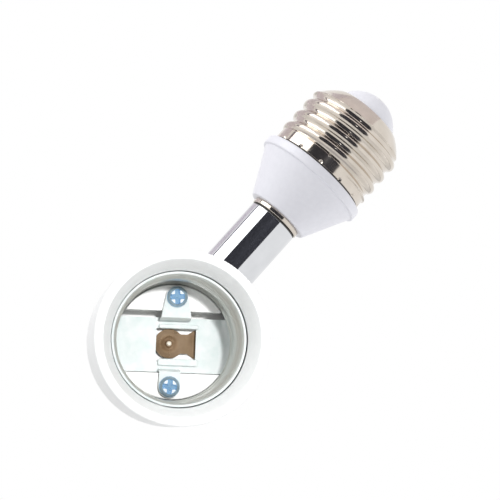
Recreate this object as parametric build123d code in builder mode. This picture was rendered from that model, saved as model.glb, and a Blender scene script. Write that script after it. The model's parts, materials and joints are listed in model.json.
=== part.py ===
"""Angle-adjustable lamp socket adapter, E27 screw cap to E27 socket.

The screw cap points up along +Z and turns into a ceiling or wall lampholder.
A chrome arm swivels under the white cone, and an elbow tilts the white socket.
The model stands in the bent pose: the socket faces -Y, square to the arm.
The origin is the centre of the cone's rim, where the cap's skirt seats.
"""
import os
from math import cos, radians, sin

from build123d import *

# Edison screw cap
thread_pitch = 3.629
thread_crest_radius = 13.1
thread_depth = 0.97
thread_crest_width = 0.84
thread_foot_width = 2.4
thread_root_sink = 0.3
thread_start_height = 2.6
thread_fade_in = 1.3
thread_fade_out = 2.2
thread_phase = 2.54
thread_seam_turn = 200.0
skirt_step = 0.47
skirt_height = 3.2
skirt_shoulder = 0.7
skirt_wall = 0.56
cap_wall = 0.8
cap_shoulder_height = 15.6
cap_shoulder_rise = 3.2
cap_shoulder_inset = 3.2

# Tip of the cap
tip_rise = 4.6
tip_flat_radius = 3.2
tip_flange_gap = 0.93
tip_bore_radius = 1.3
contact_head_radius = 2.3
contact_head_height = 0.25
contact_tail = 1.3

# White cone under the cap
rim_overhang = 1.25
rim_height = 2.4
rim_chamfer = 0.4
cone_step = 0.6
cone_foot_radius = 7.7
cone_length = 13.3
cone_floor_height = 5.3
spigot_gap = 0.2
spigot_wall = 1.62
hollow_room = 0.3
stop_rib_width = 1.4
stop_rib_gap = 0.25
stop_rib_root = 0.6

# Swivel between cone and arm
bush_flange_proud = 0.18
bush_flange_thickness = 1.2
bush_wall = 0.85
bush_proud = 0.5
stem_wall = 1.5
stem_plug_length = 7.0
stem_tail = 1.0
washer_width = 1.5
washer_thickness = 0.8
stop_tab_width = 1.4
stop_tab_reach = 1.1
swivel_nut_flats = 11.0
swivel_nut_height = 3.0

# Chrome arm
arm_radius = 6.27
arm_wall = 0.9
arm_plug_length = 5.0
pivot_drop = 55.0

# Elbow
elbow_disc_proud = 0.53
elbow_sweep_gap = 0.4
elbow_lap_gap = 0.1
elbow_cup_wall = 1.5
elbow_cup_depth = 3.6
arm_neck_length = 3.8
socket_neck_length = 4.8
pivot_screw_radius = 2.0
pivot_head_radius = 3.7
pivot_head_height = 1.9
pivot_head_chamfer = 0.7
pivot_slot_width = 0.9
pivot_slot_depth = 0.9
pivot_tail = 0.6
pivot_washer_radius = 4.2
pivot_washer_thickness = 0.7
pivot_nut_flats = 7.0
pivot_nut_height = 3.2

# White socket body, built outwards from the screw shell
cup_length = 41.0
rear_radius = 8.6
rear_taper_length = 15.0
rear_wall = 3.0
mouth_wall = 1.85
mouth_chamfer = 0.5
mouth_bevel = 2.05
mouth_depth = 6.4
shell_gap = 0.25
ledge_width = 2.4
chamber_length = 9.0
boss_radius = 2.8
boss_height = 4.0
socket_stem_wall = 2.5
socket_stem_tail = 0.4
socket_nut_flats = 13.0
socket_nut_height = 3.0
socket_nut_room = 1.4

# Inside of the socket, turned about the socket's own axis
inner_turn = 39.8
block_gap = 0.25
block_thickness = 4.0
platform_gap = 0.85
platform_height = 4.4
channel_gap = 0.2
shell_radius = 13.3
shell_wall = 0.5
shell_lip_flare = 0.95
shell_lip_depth = 6.2
shell_lip_height = 1.0
shell_foot_inset = 0.35
shell_foot_room = 0.5
shell_cut_gap = 0.2
strap_lift = 1.5
strap_width = 11.9
strap_drop = 0.6
strap_corner = 1.8
window_length = 8.7
window_width = 7.2
window_shift = 0.9
lip_width = 0.9
lip_height = 0.8
top_ear_width = 6.6
bottom_ear_width = 4.6
ear_tip = 2.4
tongue_disc_radius = 2.9
tongue_disc_shift = -0.5
tongue_thickness = 0.4
tongue_lift = 0.9
tongue_neck_width = 4.2
tongue_neck_start = 2.0
tongue_width = 6.1
tongue_ramp_start = 5.0
tongue_tail = 2.1
rivet_shift = 8.3
rivet_head_radius = 1.4
rivet_head_height = 0.5
rivet_shank_radius = 0.9
rivet_tail = 0.8
screw_inset = 2.35
screw_shift = 0.5
screw_head_radius = 2.3
screw_head_height = 1.5
screw_head_chamfer = 0.5
screw_shank_radius = 1.4
screw_tip_gap = 0.6

# Inner leads
lead_radius = 0.75
lead_faces = 8
lead_spread = 2.0
lead_offset = 1.3
lead_room = 0.11
lead_end_gap = 1.0
lead_pivot_room = 1.4
lead_turn_room = 4.4
lead_rise = 1.3
lead_cap_drop = 4.0
lead_wall_height = 9.0
lead_block_shift = -6.5

# Fits
press_clearance = 0.02
running_clearance = 0.05
thread_clearance = 0.03
loose_clearance = 0.2
swivel_gap = 0.1

# Radii and half widths that follow from the sizes above
lead_bore_radius = (lead_offset**2 + (lead_spread / 2) ** 2) ** 0.5 + lead_radius + lead_room
stem_radius = lead_bore_radius + stem_wall
bush_barrel_radius = stem_radius + running_clearance + bush_wall
bush_flange_radius = arm_radius + bush_flange_proud
washer_radius = stem_radius + washer_width
plug_radius = arm_radius - arm_wall - press_clearance
thread_root_radius = thread_crest_radius - thread_depth
cap_inner_radius = thread_root_radius - cap_wall
cap_top_radius = thread_root_radius - cap_shoulder_inset
skirt_radius = thread_root_radius + skirt_step
skirt_inner_radius = skirt_radius - skirt_wall
spigot_radius = skirt_inner_radius - press_clearance
spigot_bore_radius = spigot_radius - spigot_wall
rim_radius = skirt_radius + rim_overhang
hollow_floor_radius = washer_radius + stop_tab_reach + hollow_room
elbow_disc_radius = arm_radius + elbow_disc_proud
elbow_cup_radius = elbow_disc_radius - elbow_cup_wall
shell_lip_radius = shell_radius + shell_lip_flare
shell_foot_radius = shell_radius - shell_foot_inset
cavity_radius = shell_lip_radius + shell_gap
mouth_radius = cavity_radius + mouth_bevel
socket_radius = mouth_radius + mouth_wall
block_radius = cavity_radius - block_gap
platform_radius = shell_foot_radius - platform_gap
screw_place = platform_radius - screw_inset
strap_half = strap_width / 2
channel_half = strap_half + strap_drop + channel_gap
socket_stem_radius = lead_bore_radius + socket_stem_wall
chamber_rear_radius = socket_nut_flats / 2 / cos(radians(30)) + socket_nut_room

# Heights along the cap's axis
cap_top_height = cap_shoulder_height + cap_shoulder_rise
tip_height = cap_top_height + tip_rise
spigot_height = skirt_height - spigot_gap
cone_floor = cone_floor_height - cone_length
bush_foot = -cone_length - bush_flange_thickness
bush_top = cone_floor + bush_proud
washer_foot = bush_top + swivel_gap
nut_foot = washer_foot + washer_thickness
stem_top = nut_foot + swivel_nut_height + stem_tail
arm_top = bush_foot - swivel_gap
pivot_height = -pivot_drop

# Distances from the pivot, along the arm and along the socket's axis
lap_reach = elbow_disc_radius + elbow_sweep_gap
arm_end_reach = lap_reach + arm_neck_length
arm_bottom = pivot_height + arm_end_reach
lead_start_reach = pivot_screw_radius + lead_pivot_room
socket_rear_reach = lap_reach + socket_neck_length
mouth_reach = socket_rear_reach + cup_length
rear_floor_reach = socket_rear_reach + rear_wall
socket_stem_reach = rear_floor_reach + socket_nut_height + socket_stem_tail
ledge_reach = rear_floor_reach + chamber_length
lead_turn_reach = ledge_reach - lead_turn_room
block_top_reach = ledge_reach + block_thickness
platform_reach = block_top_reach + platform_height
screw_seat_reach = platform_reach + shell_wall
shell_wall_reach = screw_seat_reach + screw_head_height + shell_foot_room
shell_cut_reach = platform_reach - shell_cut_gap
strap_reach = block_top_reach + strap_lift
strap_top_reach = strap_reach + shell_wall
lip_reach = mouth_reach - shell_lip_depth
screw_places = [(screw_shift, screw_place), (-screw_shift, -screw_place)]

hinge_plane = Plane(origin=(0, 0, pivot_height), x_dir=(0, 1, 0), z_dir=(1, 0, 0))
arm_plane = Plane(origin=(0, 0, pivot_height), x_dir=(1, 0, 0), z_dir=(0, 0, 1))
socket_plane = Plane(origin=(0, 0, pivot_height), x_dir=(1, 0, 0), z_dir=(0, -1, 0))
socket_profile = Plane(origin=(0, 0, pivot_height), x_dir=(1, 0, 0), z_dir=(0, 0, -1))
socket_axis = Axis((0, 0, pivot_height), (0, -1, 0))
inner_x = (cos(radians(inner_turn)), 0, sin(radians(inner_turn)))
inner_plane = Plane(origin=(0, 0, pivot_height), x_dir=inner_x, z_dir=(0, -1, 0))
inner_side = Plane(origin=(0, 0, pivot_height), x_dir=inner_plane.y_dir, z_dir=inner_plane.x_dir)
inner_profile = Plane(origin=(0, 0, pivot_height), x_dir=inner_x, z_dir=-inner_plane.y_dir)


def dome_middle(start, end):
    """Middle of the arc between two (radius, height) points, with its centre on the axis."""
    centre = (end[0] ** 2 + end[1] ** 2 - start[0] ** 2 - start[1] ** 2) / (2 * (end[1] - start[1]))
    middle = Vector(start[0] + end[0], start[1] + end[1] - 2 * centre).normalized()
    radius = Vector(start[0], start[1] - centre).length
    return (radius * middle.X, centre + radius * middle.Y)


def hex_nut(plane, flats, hole_radius, height):
    """Hexagon nut that stands on a plane."""
    with BuildPart() as nut:
        with BuildSketch(plane):
            RegularPolygon(flats / 2, 6, major_radius=False)
            Circle(hole_radius, mode=Mode.SUBTRACT)
        extrude(amount=height)
    return nut.part


def half_lap(neck_plane, side, neck_length):
    """Round neck that ends in one half of the elbow, on one side of the lap."""
    disc_plane = hinge_plane.offset(side * elbow_lap_gap / 2)
    with BuildPart() as half:
        with BuildSketch(neck_plane):
            Circle(arm_radius)
        extrude(amount=neck_length)
        with BuildSketch(neck_plane):
            with Locations((-side * elbow_disc_radius, 0)):
                Rectangle(2 * elbow_disc_radius + elbow_lap_gap, 4 * elbow_disc_radius)
        extrude(amount=lap_reach, mode=Mode.SUBTRACT)
        with BuildSketch(disc_plane):
            Circle(elbow_disc_radius)
        extrude(amount=side * (arm_radius - elbow_lap_gap / 2))
        with BuildSketch(disc_plane):
            Circle(elbow_cup_radius)
        extrude(amount=side * elbow_cup_depth, mode=Mode.SUBTRACT)
        with BuildSketch(neck_plane.offset(pivot_screw_radius)):
            Circle(lead_bore_radius)
        extrude(amount=neck_length, mode=Mode.SUBTRACT)
        with BuildSketch(hinge_plane):
            Circle(pivot_screw_radius + running_clearance)
        extrude(amount=side * elbow_disc_radius, mode=Mode.SUBTRACT)
    return half.part


def lead(points):
    """Insulated lead along straight runs with mitred corners, eight-sided to stay light."""
    with BuildPart() as wire:
        with BuildLine():
            path = Polyline(*points)
        with BuildSketch(Plane(origin=path @ 0, z_dir=path % 0)):
            RegularPolygon(lead_radius, lead_faces)
        sweep(path=path, transition=Transition.RIGHT)
    return wire.part


def ear(side, width):
    """Ear that rises at one edge of the strap and ends in a round tip under the screw."""
    strap_edge = side * strap_half - strap_drop
    ear_span = screw_place + ear_tip
    with BuildPart() as tab:
        with BuildSketch(inner_plane.offset(strap_top_reach)):
            with Locations((side * screw_shift, strap_edge - side * shell_wall / 2)):
                Rectangle(width, shell_wall)
            with Locations((side * screw_shift, side * screw_place)):
                Circle(ear_tip)
            make_hull()
        extrude(amount=screw_seat_reach - strap_top_reach)
        with BuildSketch(inner_side):
            with Locations((strap_edge + side * ear_span / 2, (strap_top_reach + platform_reach) / 2)):
                Rectangle(ear_span, platform_reach - strap_top_reach)
        extrude(amount=ear_span, both=True, mode=Mode.SUBTRACT)
    return tab.part


# Ridge of the Edison thread, which fades in above the skirt and out below the tip.
# The seam of the fading cut is turned clear of the helix's two ends.
ridge_crest = thread_crest_width / 2
ridge_foot = thread_foot_width / 2 + thread_root_sink
helix_start = thread_phase - thread_pitch
helix_turns = (cap_shoulder_height - helix_start) // thread_pitch + 1
fade_radius = thread_crest_radius + thread_depth

with BuildPart() as thread:
    with BuildLine(Plane.XY.offset(helix_start)):
        helix = Helix(pitch=thread_pitch, height=helix_turns * thread_pitch, radius=thread_root_radius)
    with BuildSketch(Plane(origin=helix @ 0, x_dir=(1, 0, 0), z_dir=(0, -1, 0))):
        with BuildLine():
            Polyline(
                (-thread_root_sink, ridge_foot),
                (thread_depth, ridge_crest),
                (thread_depth, -ridge_crest),
                (-thread_root_sink, -ridge_foot),
                close=True,
            )
        make_face()
    sweep(path=helix, is_frenet=True)
    with BuildSketch(Plane.XZ.rotated((0, 0, thread_seam_turn))):
        with BuildLine():
            Polyline(
                (0, thread_start_height),
                (skirt_radius, thread_start_height),
                (fade_radius, thread_start_height + thread_fade_in),
                (fade_radius, cap_shoulder_height - thread_fade_out),
                (thread_root_radius, cap_shoulder_height),
                (0, cap_shoulder_height),
                close=True,
            )
        make_face()
    revolve(axis=Axis.Z, mode=Mode.INTERSECT)

# Nickel screw cap shell, rolled with the thread and crimped to the cone's spigot
cap_mouth_radius = cap_top_radius - cap_wall
cap_mouth_height = cap_top_height - cap_wall
shoulder_start = (thread_root_radius, cap_shoulder_height)
shoulder_end = (cap_top_radius, cap_top_height)

with BuildPart() as cap_shell:
    with BuildSketch(Plane.XZ):
        with BuildLine():
            Polyline(
                (0, cap_top_height),
                (0, 0),
                (skirt_radius, 0),
                (skirt_radius, skirt_height),
                (thread_root_radius, skirt_height + skirt_shoulder),
                shoulder_start,
            )
            ThreePointArc(shoulder_start, dome_middle(shoulder_start, shoulder_end), shoulder_end)
            Line(shoulder_end, (0, cap_top_height))
        make_face()
    revolve(axis=Axis.Z)
    add(thread.part)
    with BuildSketch(Plane.XZ):
        with BuildLine():
            Polyline(
                (0, cap_top_height),
                (cap_top_radius, cap_top_height),
                (cap_mouth_radius, cap_mouth_height),
                (cap_inner_radius, cap_shoulder_height - cap_wall),
                (cap_inner_radius, skirt_height + skirt_shoulder),
                (skirt_inner_radius, skirt_height),
                (skirt_inner_radius, 0),
                (0, 0),
                close=True,
            )
        make_face()
    revolve(axis=Axis.Z, mode=Mode.SUBTRACT)

# White insulator that plugs the top of the cap, its shoulder under the rolled end
shoulder_slope = (cap_top_height - cap_shoulder_height) / (cap_inner_radius - cap_mouth_radius)
tip_plug_radius = cap_mouth_radius - loose_clearance
tip_plug_rise = shoulder_slope * (cap_mouth_radius - tip_plug_radius)
tip_plug_foot = cap_mouth_height + tip_plug_rise - running_clearance
tip_flange_radius = cap_inner_radius - tip_flange_gap
tip_flange_rise = shoulder_slope * (cap_mouth_radius - tip_flange_radius)
tip_flange_foot = cap_mouth_height + tip_flange_rise - running_clearance
dome_start = (tip_plug_radius, cap_top_height)
dome_end = (tip_flat_radius, tip_height)

with BuildPart() as cap_insulator:
    with BuildSketch(Plane.XZ):
        with BuildLine():
            Polyline(
                dome_end,
                (tip_bore_radius, tip_height),
                (tip_bore_radius, tip_flange_foot),
                (tip_flange_radius, tip_flange_foot),
                (tip_plug_radius, tip_plug_foot),
                dome_start,
            )
            ThreePointArc(dome_start, dome_middle(dome_start, dome_end), dome_end)
        make_face()
    revolve(axis=Axis.Z)

# Centre contact of the cap, a flat rivet through the insulator
contact_foot = tip_flange_foot - contact_tail

with BuildPart() as cap_contact:
    with BuildSketch(Plane.XY.offset(tip_height)):
        Circle(contact_head_radius)
    extrude(amount=contact_head_height)
    with BuildSketch(Plane.XY.offset(tip_height)):
        Circle(tip_bore_radius - running_clearance)
    extrude(amount=contact_foot - tip_height)

# White cone with the rim, the spigot inside the cap and the rib that stops the swivel
rib_top = washer_foot + washer_thickness / 2
rib_inner_radius = washer_radius + stop_rib_gap
hollow_taper = (spigot_bore_radius - hollow_floor_radius) / (spigot_height - cone_floor)
rib_outer_radius = hollow_floor_radius + hollow_taper * (rib_top - cone_floor)

with BuildPart() as base_cone:
    with BuildSketch(Plane.XZ):
        with BuildLine():
            Polyline(
                (spigot_bore_radius, spigot_height),
                (spigot_radius, spigot_height),
                (spigot_radius, 0),
                (rim_radius - rim_chamfer, 0),
                (rim_radius, -rim_chamfer),
                (rim_radius, -rim_height),
                (rim_radius - cone_step, -rim_height),
                (cone_foot_radius, -cone_length),
                (bush_barrel_radius + press_clearance, -cone_length),
                (bush_barrel_radius + press_clearance, cone_floor),
                (hollow_floor_radius, cone_floor),
                close=True,
            )
        make_face()
    revolve(axis=Axis.Z)
    with BuildSketch(Plane.XY.offset(cone_floor)):
        with Locations((0, rib_inner_radius)):
            Rectangle(
                stop_rib_width,
                rib_outer_radius - rib_inner_radius + stop_rib_root,
                align=(Align.CENTER, Align.MIN),
            )
    extrude(amount=rib_top - cone_floor)

# Nickel bush, whose flange shows between cone and arm
with BuildPart() as swivel_bush:
    with BuildSketch(Plane.XZ):
        with BuildLine():
            Polyline(
                (stem_radius + running_clearance, bush_foot),
                (bush_flange_radius, bush_foot),
                (bush_flange_radius, -cone_length),
                (bush_barrel_radius, -cone_length),
                (bush_barrel_radius, bush_top),
                (stem_radius + running_clearance, bush_top),
                close=True,
            )
        make_face()
    revolve(axis=Axis.Z)

# Hollow stem, pressed into the arm and turning in the bush
with BuildPart() as arm_stem:
    with BuildSketch(Plane.XZ):
        with BuildLine():
            Polyline(
                (lead_bore_radius, arm_top - stem_plug_length),
                (plug_radius, arm_top - stem_plug_length),
                (plug_radius, arm_top),
                (stem_radius, arm_top),
                (stem_radius, stem_top),
                (lead_bore_radius, stem_top),
                close=True,
            )
        make_face()
    revolve(axis=Axis.Z)

# Washer with the tab that meets the rib at each end of the swivel
with BuildPart() as stop_washer:
    with BuildSketch(Plane.XY.offset(washer_foot)):
        Circle(washer_radius)
        with Locations((0, -washer_radius)):
            Rectangle(stop_tab_width, 2 * stop_tab_reach)
        Circle(stem_radius + thread_clearance, mode=Mode.SUBTRACT)
    extrude(amount=washer_thickness)

# Nut on the stem
with BuildPart() as swivel_nut:
    nut_plane = Plane.XY.offset(nut_foot)
    add(hex_nut(nut_plane, swivel_nut_flats, stem_radius + thread_clearance, swivel_nut_height))

# Chrome arm tube
with BuildPart() as arm_tube:
    with BuildSketch(Plane.XY.offset(arm_bottom)):
        Circle(arm_radius)
        Circle(arm_radius - arm_wall, mode=Mode.SUBTRACT)
    extrude(amount=arm_top - arm_bottom)

# Upper half of the elbow, plugged into the arm
with BuildPart() as arm_knuckle:
    add(half_lap(arm_plane, 1, arm_end_reach))
    with BuildSketch(arm_plane.offset(arm_end_reach)):
        Circle(plug_radius)
        Circle(lead_bore_radius, mode=Mode.SUBTRACT)
    extrude(amount=arm_plug_length)

# Slotted screw through the elbow, with its washer and nut
pivot_washer_face = arm_radius + swivel_gap
pivot_nut_face = pivot_washer_face + pivot_washer_thickness
pivot_end_face = pivot_nut_face + pivot_nut_height + pivot_tail

with BuildPart() as pivot_screw:
    with BuildSketch(hinge_plane.offset(arm_radius)):
        Circle(pivot_head_radius)
    extrude(amount=pivot_head_height)
    chamfer(pivot_screw.edges().sort_by(Axis.X)[-1], pivot_head_chamfer)
    with BuildSketch(hinge_plane.offset(arm_radius + pivot_head_height - pivot_slot_depth)):
        Rectangle(2 * pivot_head_radius, pivot_slot_width)
    extrude(amount=pivot_slot_depth, mode=Mode.SUBTRACT)
    with BuildSketch(hinge_plane.offset(arm_radius)):
        Circle(pivot_screw_radius)
    extrude(amount=-arm_radius - pivot_end_face)

with BuildPart() as pivot_washer:
    with BuildSketch(hinge_plane.offset(-pivot_nut_face)):
        Circle(pivot_washer_radius)
        Circle(pivot_screw_radius + thread_clearance, mode=Mode.SUBTRACT)
    extrude(amount=pivot_washer_thickness)

with BuildPart() as pivot_nut:
    nut_plane = hinge_plane.offset(-pivot_nut_face - pivot_nut_height)
    add(hex_nut(nut_plane, pivot_nut_flats, pivot_screw_radius + thread_clearance, pivot_nut_height))

# Lower half of the elbow, with the hollow stem that holds the socket
with BuildPart() as socket_knuckle:
    add(half_lap(socket_plane, -1, socket_rear_reach))
    with BuildSketch(socket_plane.offset(socket_rear_reach)):
        Circle(socket_stem_radius)
        Circle(lead_bore_radius, mode=Mode.SUBTRACT)
    extrude(amount=socket_stem_reach - socket_rear_reach)

# White socket body, with the bevelled mouth, the ledge for the block and two screw bosses
with BuildPart() as socket_body:
    with BuildSketch(socket_profile):
        with BuildLine():
            Polyline(
                (socket_stem_radius + running_clearance, socket_rear_reach),
                (rear_radius, socket_rear_reach),
                (socket_radius, socket_rear_reach + rear_taper_length),
                (socket_radius, mouth_reach - mouth_chamfer),
                (socket_radius - mouth_chamfer, mouth_reach),
                (mouth_radius, mouth_reach),
                (cavity_radius, mouth_reach - mouth_depth),
                (cavity_radius, ledge_reach),
                (cavity_radius - ledge_width, ledge_reach),
                (chamber_rear_radius, rear_floor_reach),
                (socket_stem_radius + running_clearance, rear_floor_reach),
                close=True,
            )
        make_face()
    revolve(axis=socket_axis)
    with BuildSketch(inner_plane.offset(ledge_reach)):
        with Locations(*screw_places):
            Circle(boss_radius)
    extrude(amount=-boss_height)
    with BuildSketch(inner_plane.offset(ledge_reach)):
        with Locations(*screw_places):
            Circle(screw_shank_radius + thread_clearance)
    extrude(amount=-boss_height, mode=Mode.SUBTRACT)

# Nut that clamps the socket to the elbow's stem
with BuildPart() as socket_nut:
    nut_plane = socket_plane.offset(rear_floor_reach)
    add(hex_nut(nut_plane, socket_nut_flats, socket_stem_radius + thread_clearance, socket_nut_height))

# White insulating block with two raised platforms and a channel between them
with BuildPart() as insulator_block:
    with BuildSketch(inner_plane.offset(ledge_reach)):
        Circle(block_radius)
    extrude(amount=block_thickness)
    with BuildSketch(inner_plane.offset(block_top_reach)):
        Circle(platform_radius)
        Rectangle(2 * block_radius, 2 * channel_half, mode=Mode.SUBTRACT)
    extrude(amount=platform_height)
    with BuildSketch(inner_plane.offset(ledge_reach)):
        with Locations(*screw_places):
            Circle(screw_shank_radius + loose_clearance)
        with Locations((rivet_shift, 0)):
            Circle(rivet_shank_radius + press_clearance)
        with Locations((lead_block_shift, 0)):
            Circle(lead_radius + loose_clearance)
    extrude(amount=block_thickness + platform_height, mode=Mode.SUBTRACT)

# Nickel screw shell: wall with a flared lip, and a strap across its foot
strap_end_radius = shell_foot_radius - strap_corner
corner_reach = strap_top_reach + strap_corner

with BuildPart() as screw_shell:
    with BuildSketch(socket_profile):
        with BuildLine():
            Polyline(
                (0, strap_top_reach),
                (strap_end_radius, strap_top_reach),
                (shell_foot_radius, corner_reach),
                (shell_radius, shell_wall_reach),
                (shell_radius, lip_reach - shell_lip_height),
                (shell_lip_radius - shell_wall, lip_reach),
                (shell_lip_radius, lip_reach),
                (shell_radius + shell_wall, lip_reach - shell_lip_height),
                (shell_radius + shell_wall, shell_wall_reach),
                (shell_foot_radius + shell_wall, corner_reach),
                (strap_end_radius + shell_wall, strap_reach),
                (0, strap_reach),
                close=True,
            )
        make_face()
    revolve(axis=socket_axis)
    with BuildSketch(inner_plane.offset(strap_reach)):
        Rectangle(4 * shell_radius, 4 * shell_radius)
        with Locations((0, -strap_drop)):
            Rectangle(4 * shell_radius, strap_width, mode=Mode.SUBTRACT)
    extrude(amount=shell_cut_reach - strap_reach, mode=Mode.SUBTRACT)
    with BuildSketch(inner_plane.offset(strap_reach)):
        with Locations((window_shift, -strap_drop)):
            Rectangle(window_length, window_width)
    extrude(amount=shell_wall, mode=Mode.SUBTRACT)
    with BuildSketch(inner_plane.offset(strap_top_reach)):
        with Locations((window_shift, -strap_drop)):
            Rectangle(window_length, window_width + 2 * lip_width)
            Rectangle(window_length, window_width, mode=Mode.SUBTRACT)
    extrude(amount=lip_height)
    add(ear(1, top_ear_width))
    add(ear(-1, bottom_ear_width))
    with BuildSketch(inner_plane.offset(platform_reach)):
        with Locations(*screw_places):
            Circle(screw_shank_radius + loose_clearance)
    extrude(amount=shell_wall, mode=Mode.SUBTRACT)

# Brass centre tongue: a sprung keyhole strip, bent up under the window
disc_reach = block_top_reach + tongue_lift
disc_edge = tongue_disc_shift + tongue_disc_radius
tongue_end = rivet_shift + tongue_tail

with BuildPart() as centre_contact:
    with BuildSketch(inner_plane.offset(block_top_reach)):
        with Locations((tongue_disc_shift, 0)):
            Circle(tongue_disc_radius)
        with BuildLine():
            Polyline(
                (tongue_disc_shift, tongue_neck_width / 2),
                (tongue_neck_start, tongue_neck_width / 2),
                (tongue_ramp_start, tongue_width / 2),
                (tongue_end, tongue_width / 2),
                (tongue_end, -tongue_width / 2),
                (tongue_ramp_start, -tongue_width / 2),
                (tongue_neck_start, -tongue_neck_width / 2),
                (tongue_disc_shift, -tongue_neck_width / 2),
                close=True,
            )
        make_face()
        with Locations((rivet_shift, 0)):
            Circle(rivet_shank_radius + press_clearance, mode=Mode.SUBTRACT)
    extrude(amount=tongue_lift + 2 * tongue_thickness)
    with BuildSketch(inner_profile):
        with BuildLine():
            Polyline(
                (tongue_end, block_top_reach),
                (tongue_ramp_start, block_top_reach),
                (disc_edge, disc_reach),
                (disc_edge - 3 * tongue_disc_radius, disc_reach),
                (disc_edge - 3 * tongue_disc_radius, disc_reach + tongue_thickness),
                (disc_edge, disc_reach + tongue_thickness),
                (tongue_ramp_start, block_top_reach + tongue_thickness),
                (tongue_end, block_top_reach + tongue_thickness),
                close=True,
            )
        make_face()
    extrude(amount=tongue_width, both=True, mode=Mode.INTERSECT)

# Rivet that holds the tongue and takes the live lead
rivet_seat_reach = block_top_reach + tongue_thickness

with BuildPart() as contact_rivet:
    with Locations(inner_plane.offset(rivet_seat_reach)):
        with Locations((rivet_shift, 0, 0)):
            Cylinder(rivet_head_radius, rivet_head_height, align=(Align.CENTER, Align.CENTER, Align.MIN))
            Cylinder(
                rivet_shank_radius,
                rivet_seat_reach - ledge_reach + rivet_tail,
                align=(Align.CENTER, Align.CENTER, Align.MAX),
            )

# Two screws that clamp the shell's ears and the block
screw_length = screw_seat_reach - ledge_reach + boss_height - screw_tip_gap

with BuildPart() as shell_screws:
    with BuildSketch(inner_plane.offset(screw_seat_reach)):
        with Locations(*screw_places):
            Circle(screw_head_radius)
    extrude(amount=screw_head_height)
    chamfer(shell_screws.edges().group_by(socket_axis)[-1], screw_head_chamfer)
    with BuildSketch(inner_plane.offset(screw_seat_reach)):
        with Locations(*screw_places):
            Circle(screw_shank_radius)
    extrude(amount=-screw_length)

# Leads in the cap: live from the centre contact, neutral from the shell's wall
lead_sides = [lead_spread / 2, -lead_spread / 2]
lead_foot = stem_top + lead_end_gap
wall_touch = (cap_inner_radius**2 - lead_radius**2) ** 0.5

with BuildPart() as cap_leads:
    add(lead([
        (0, 0, contact_foot),
        (0, 0, contact_foot - lead_cap_drop),
        (lead_offset, lead_sides[0], spigot_height),
        (lead_offset, lead_sides[0], lead_foot),
    ]))
    add(lead([
        (wall_touch, 0, lead_wall_height),
        (wall_touch - lead_cap_drop, 0, lead_wall_height),
        (lead_offset, lead_sides[1], spigot_height),
        (lead_offset, lead_sides[1], lead_foot),
    ]))

# Leads through the arm
with BuildPart() as arm_leads:
    for side in lead_sides:
        add(lead([
            (lead_offset, side, pivot_height + lead_start_reach),
            (lead_offset, side, stem_top),
        ]))

# Leads in the socket: live to the rivet, neutral through the block to the strap
with BuildPart() as socket_leads:
    for side, shift, end_reach in (
        (lead_sides[0], rivet_shift, ledge_reach - rivet_tail),
        (lead_sides[1], lead_block_shift, strap_reach),
    ):
        add(lead([
            socket_plane.from_local_coords((-lead_offset, side, lead_start_reach)),
            socket_plane.from_local_coords((-lead_offset, side, lead_turn_reach)),
            inner_plane.from_local_coords((shift, 0, lead_turn_reach + lead_rise)),
            inner_plane.from_local_coords((shift, 0, end_reach)),
        ]))

# One file for each piece
pieces = {
    "cap_shell": cap_shell,
    "cap_insulator": cap_insulator,
    "cap_contact": cap_contact,
    "base_cone": base_cone,
    "swivel_bush": swivel_bush,
    "cap_leads": cap_leads,
    "arm_stem": arm_stem,
    "stop_washer": stop_washer,
    "swivel_nut": swivel_nut,
    "arm_tube": arm_tube,
    "arm_knuckle": arm_knuckle,
    "pivot_screw": pivot_screw,
    "pivot_washer": pivot_washer,
    "pivot_nut": pivot_nut,
    "arm_leads": arm_leads,
    "socket_knuckle": socket_knuckle,
    "socket_body": socket_body,
    "socket_nut": socket_nut,
    "insulator_block": insulator_block,
    "screw_shell": screw_shell,
    "centre_contact": centre_contact,
    "contact_rivet": contact_rivet,
    "shell_screws": shell_screws,
    "socket_leads": socket_leads,
}
os.makedirs("parts", exist_ok=True)
for name, piece in pieces.items():
    piece.part.label = name
    export_step(piece.part, f"parts/{name}.step")
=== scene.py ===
"""Looks of the angle-adjustable lamp socket adapter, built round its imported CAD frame.

Lengths are in millimetres until a mesh is made. The lamps, the floor and the cards are in metres.
The cap stands on the frame's Z axis.
The socket has a frame of its own: u along its strap, v across it, w outwards from the elbow.
"""

import json
from math import acos, cos, pi, radians, sin, sqrt, tan, tau

import bmesh
import bpy
from mathutils import Matrix, Vector


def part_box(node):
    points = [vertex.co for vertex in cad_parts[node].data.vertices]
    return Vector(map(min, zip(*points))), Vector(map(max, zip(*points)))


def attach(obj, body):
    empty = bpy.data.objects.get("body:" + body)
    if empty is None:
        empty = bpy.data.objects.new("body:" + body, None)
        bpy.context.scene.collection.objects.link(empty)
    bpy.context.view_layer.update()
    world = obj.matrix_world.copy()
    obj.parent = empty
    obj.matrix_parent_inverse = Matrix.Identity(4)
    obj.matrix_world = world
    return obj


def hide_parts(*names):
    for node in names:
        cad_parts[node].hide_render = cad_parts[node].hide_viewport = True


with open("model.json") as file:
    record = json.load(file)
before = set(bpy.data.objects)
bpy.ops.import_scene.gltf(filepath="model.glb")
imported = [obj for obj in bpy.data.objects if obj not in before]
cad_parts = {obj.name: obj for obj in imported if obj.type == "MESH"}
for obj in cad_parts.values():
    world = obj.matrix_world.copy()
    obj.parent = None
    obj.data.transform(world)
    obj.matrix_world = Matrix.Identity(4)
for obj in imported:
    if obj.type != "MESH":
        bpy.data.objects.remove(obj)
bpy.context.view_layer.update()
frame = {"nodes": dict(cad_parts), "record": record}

# Fineness of the meshes
MM = 0.001
SEGMENTS = 144
CAP_SEGMENTS = 360
BEAD_SEGMENTS = 16
BOSS_SEGMENTS = 32
SCREW_SEGMENTS = 96
ARC_STEPS = 5
SHOULDER_STEPS = 12
TIP_STEPS = 14
PLATFORM_STEPS = 20
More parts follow.
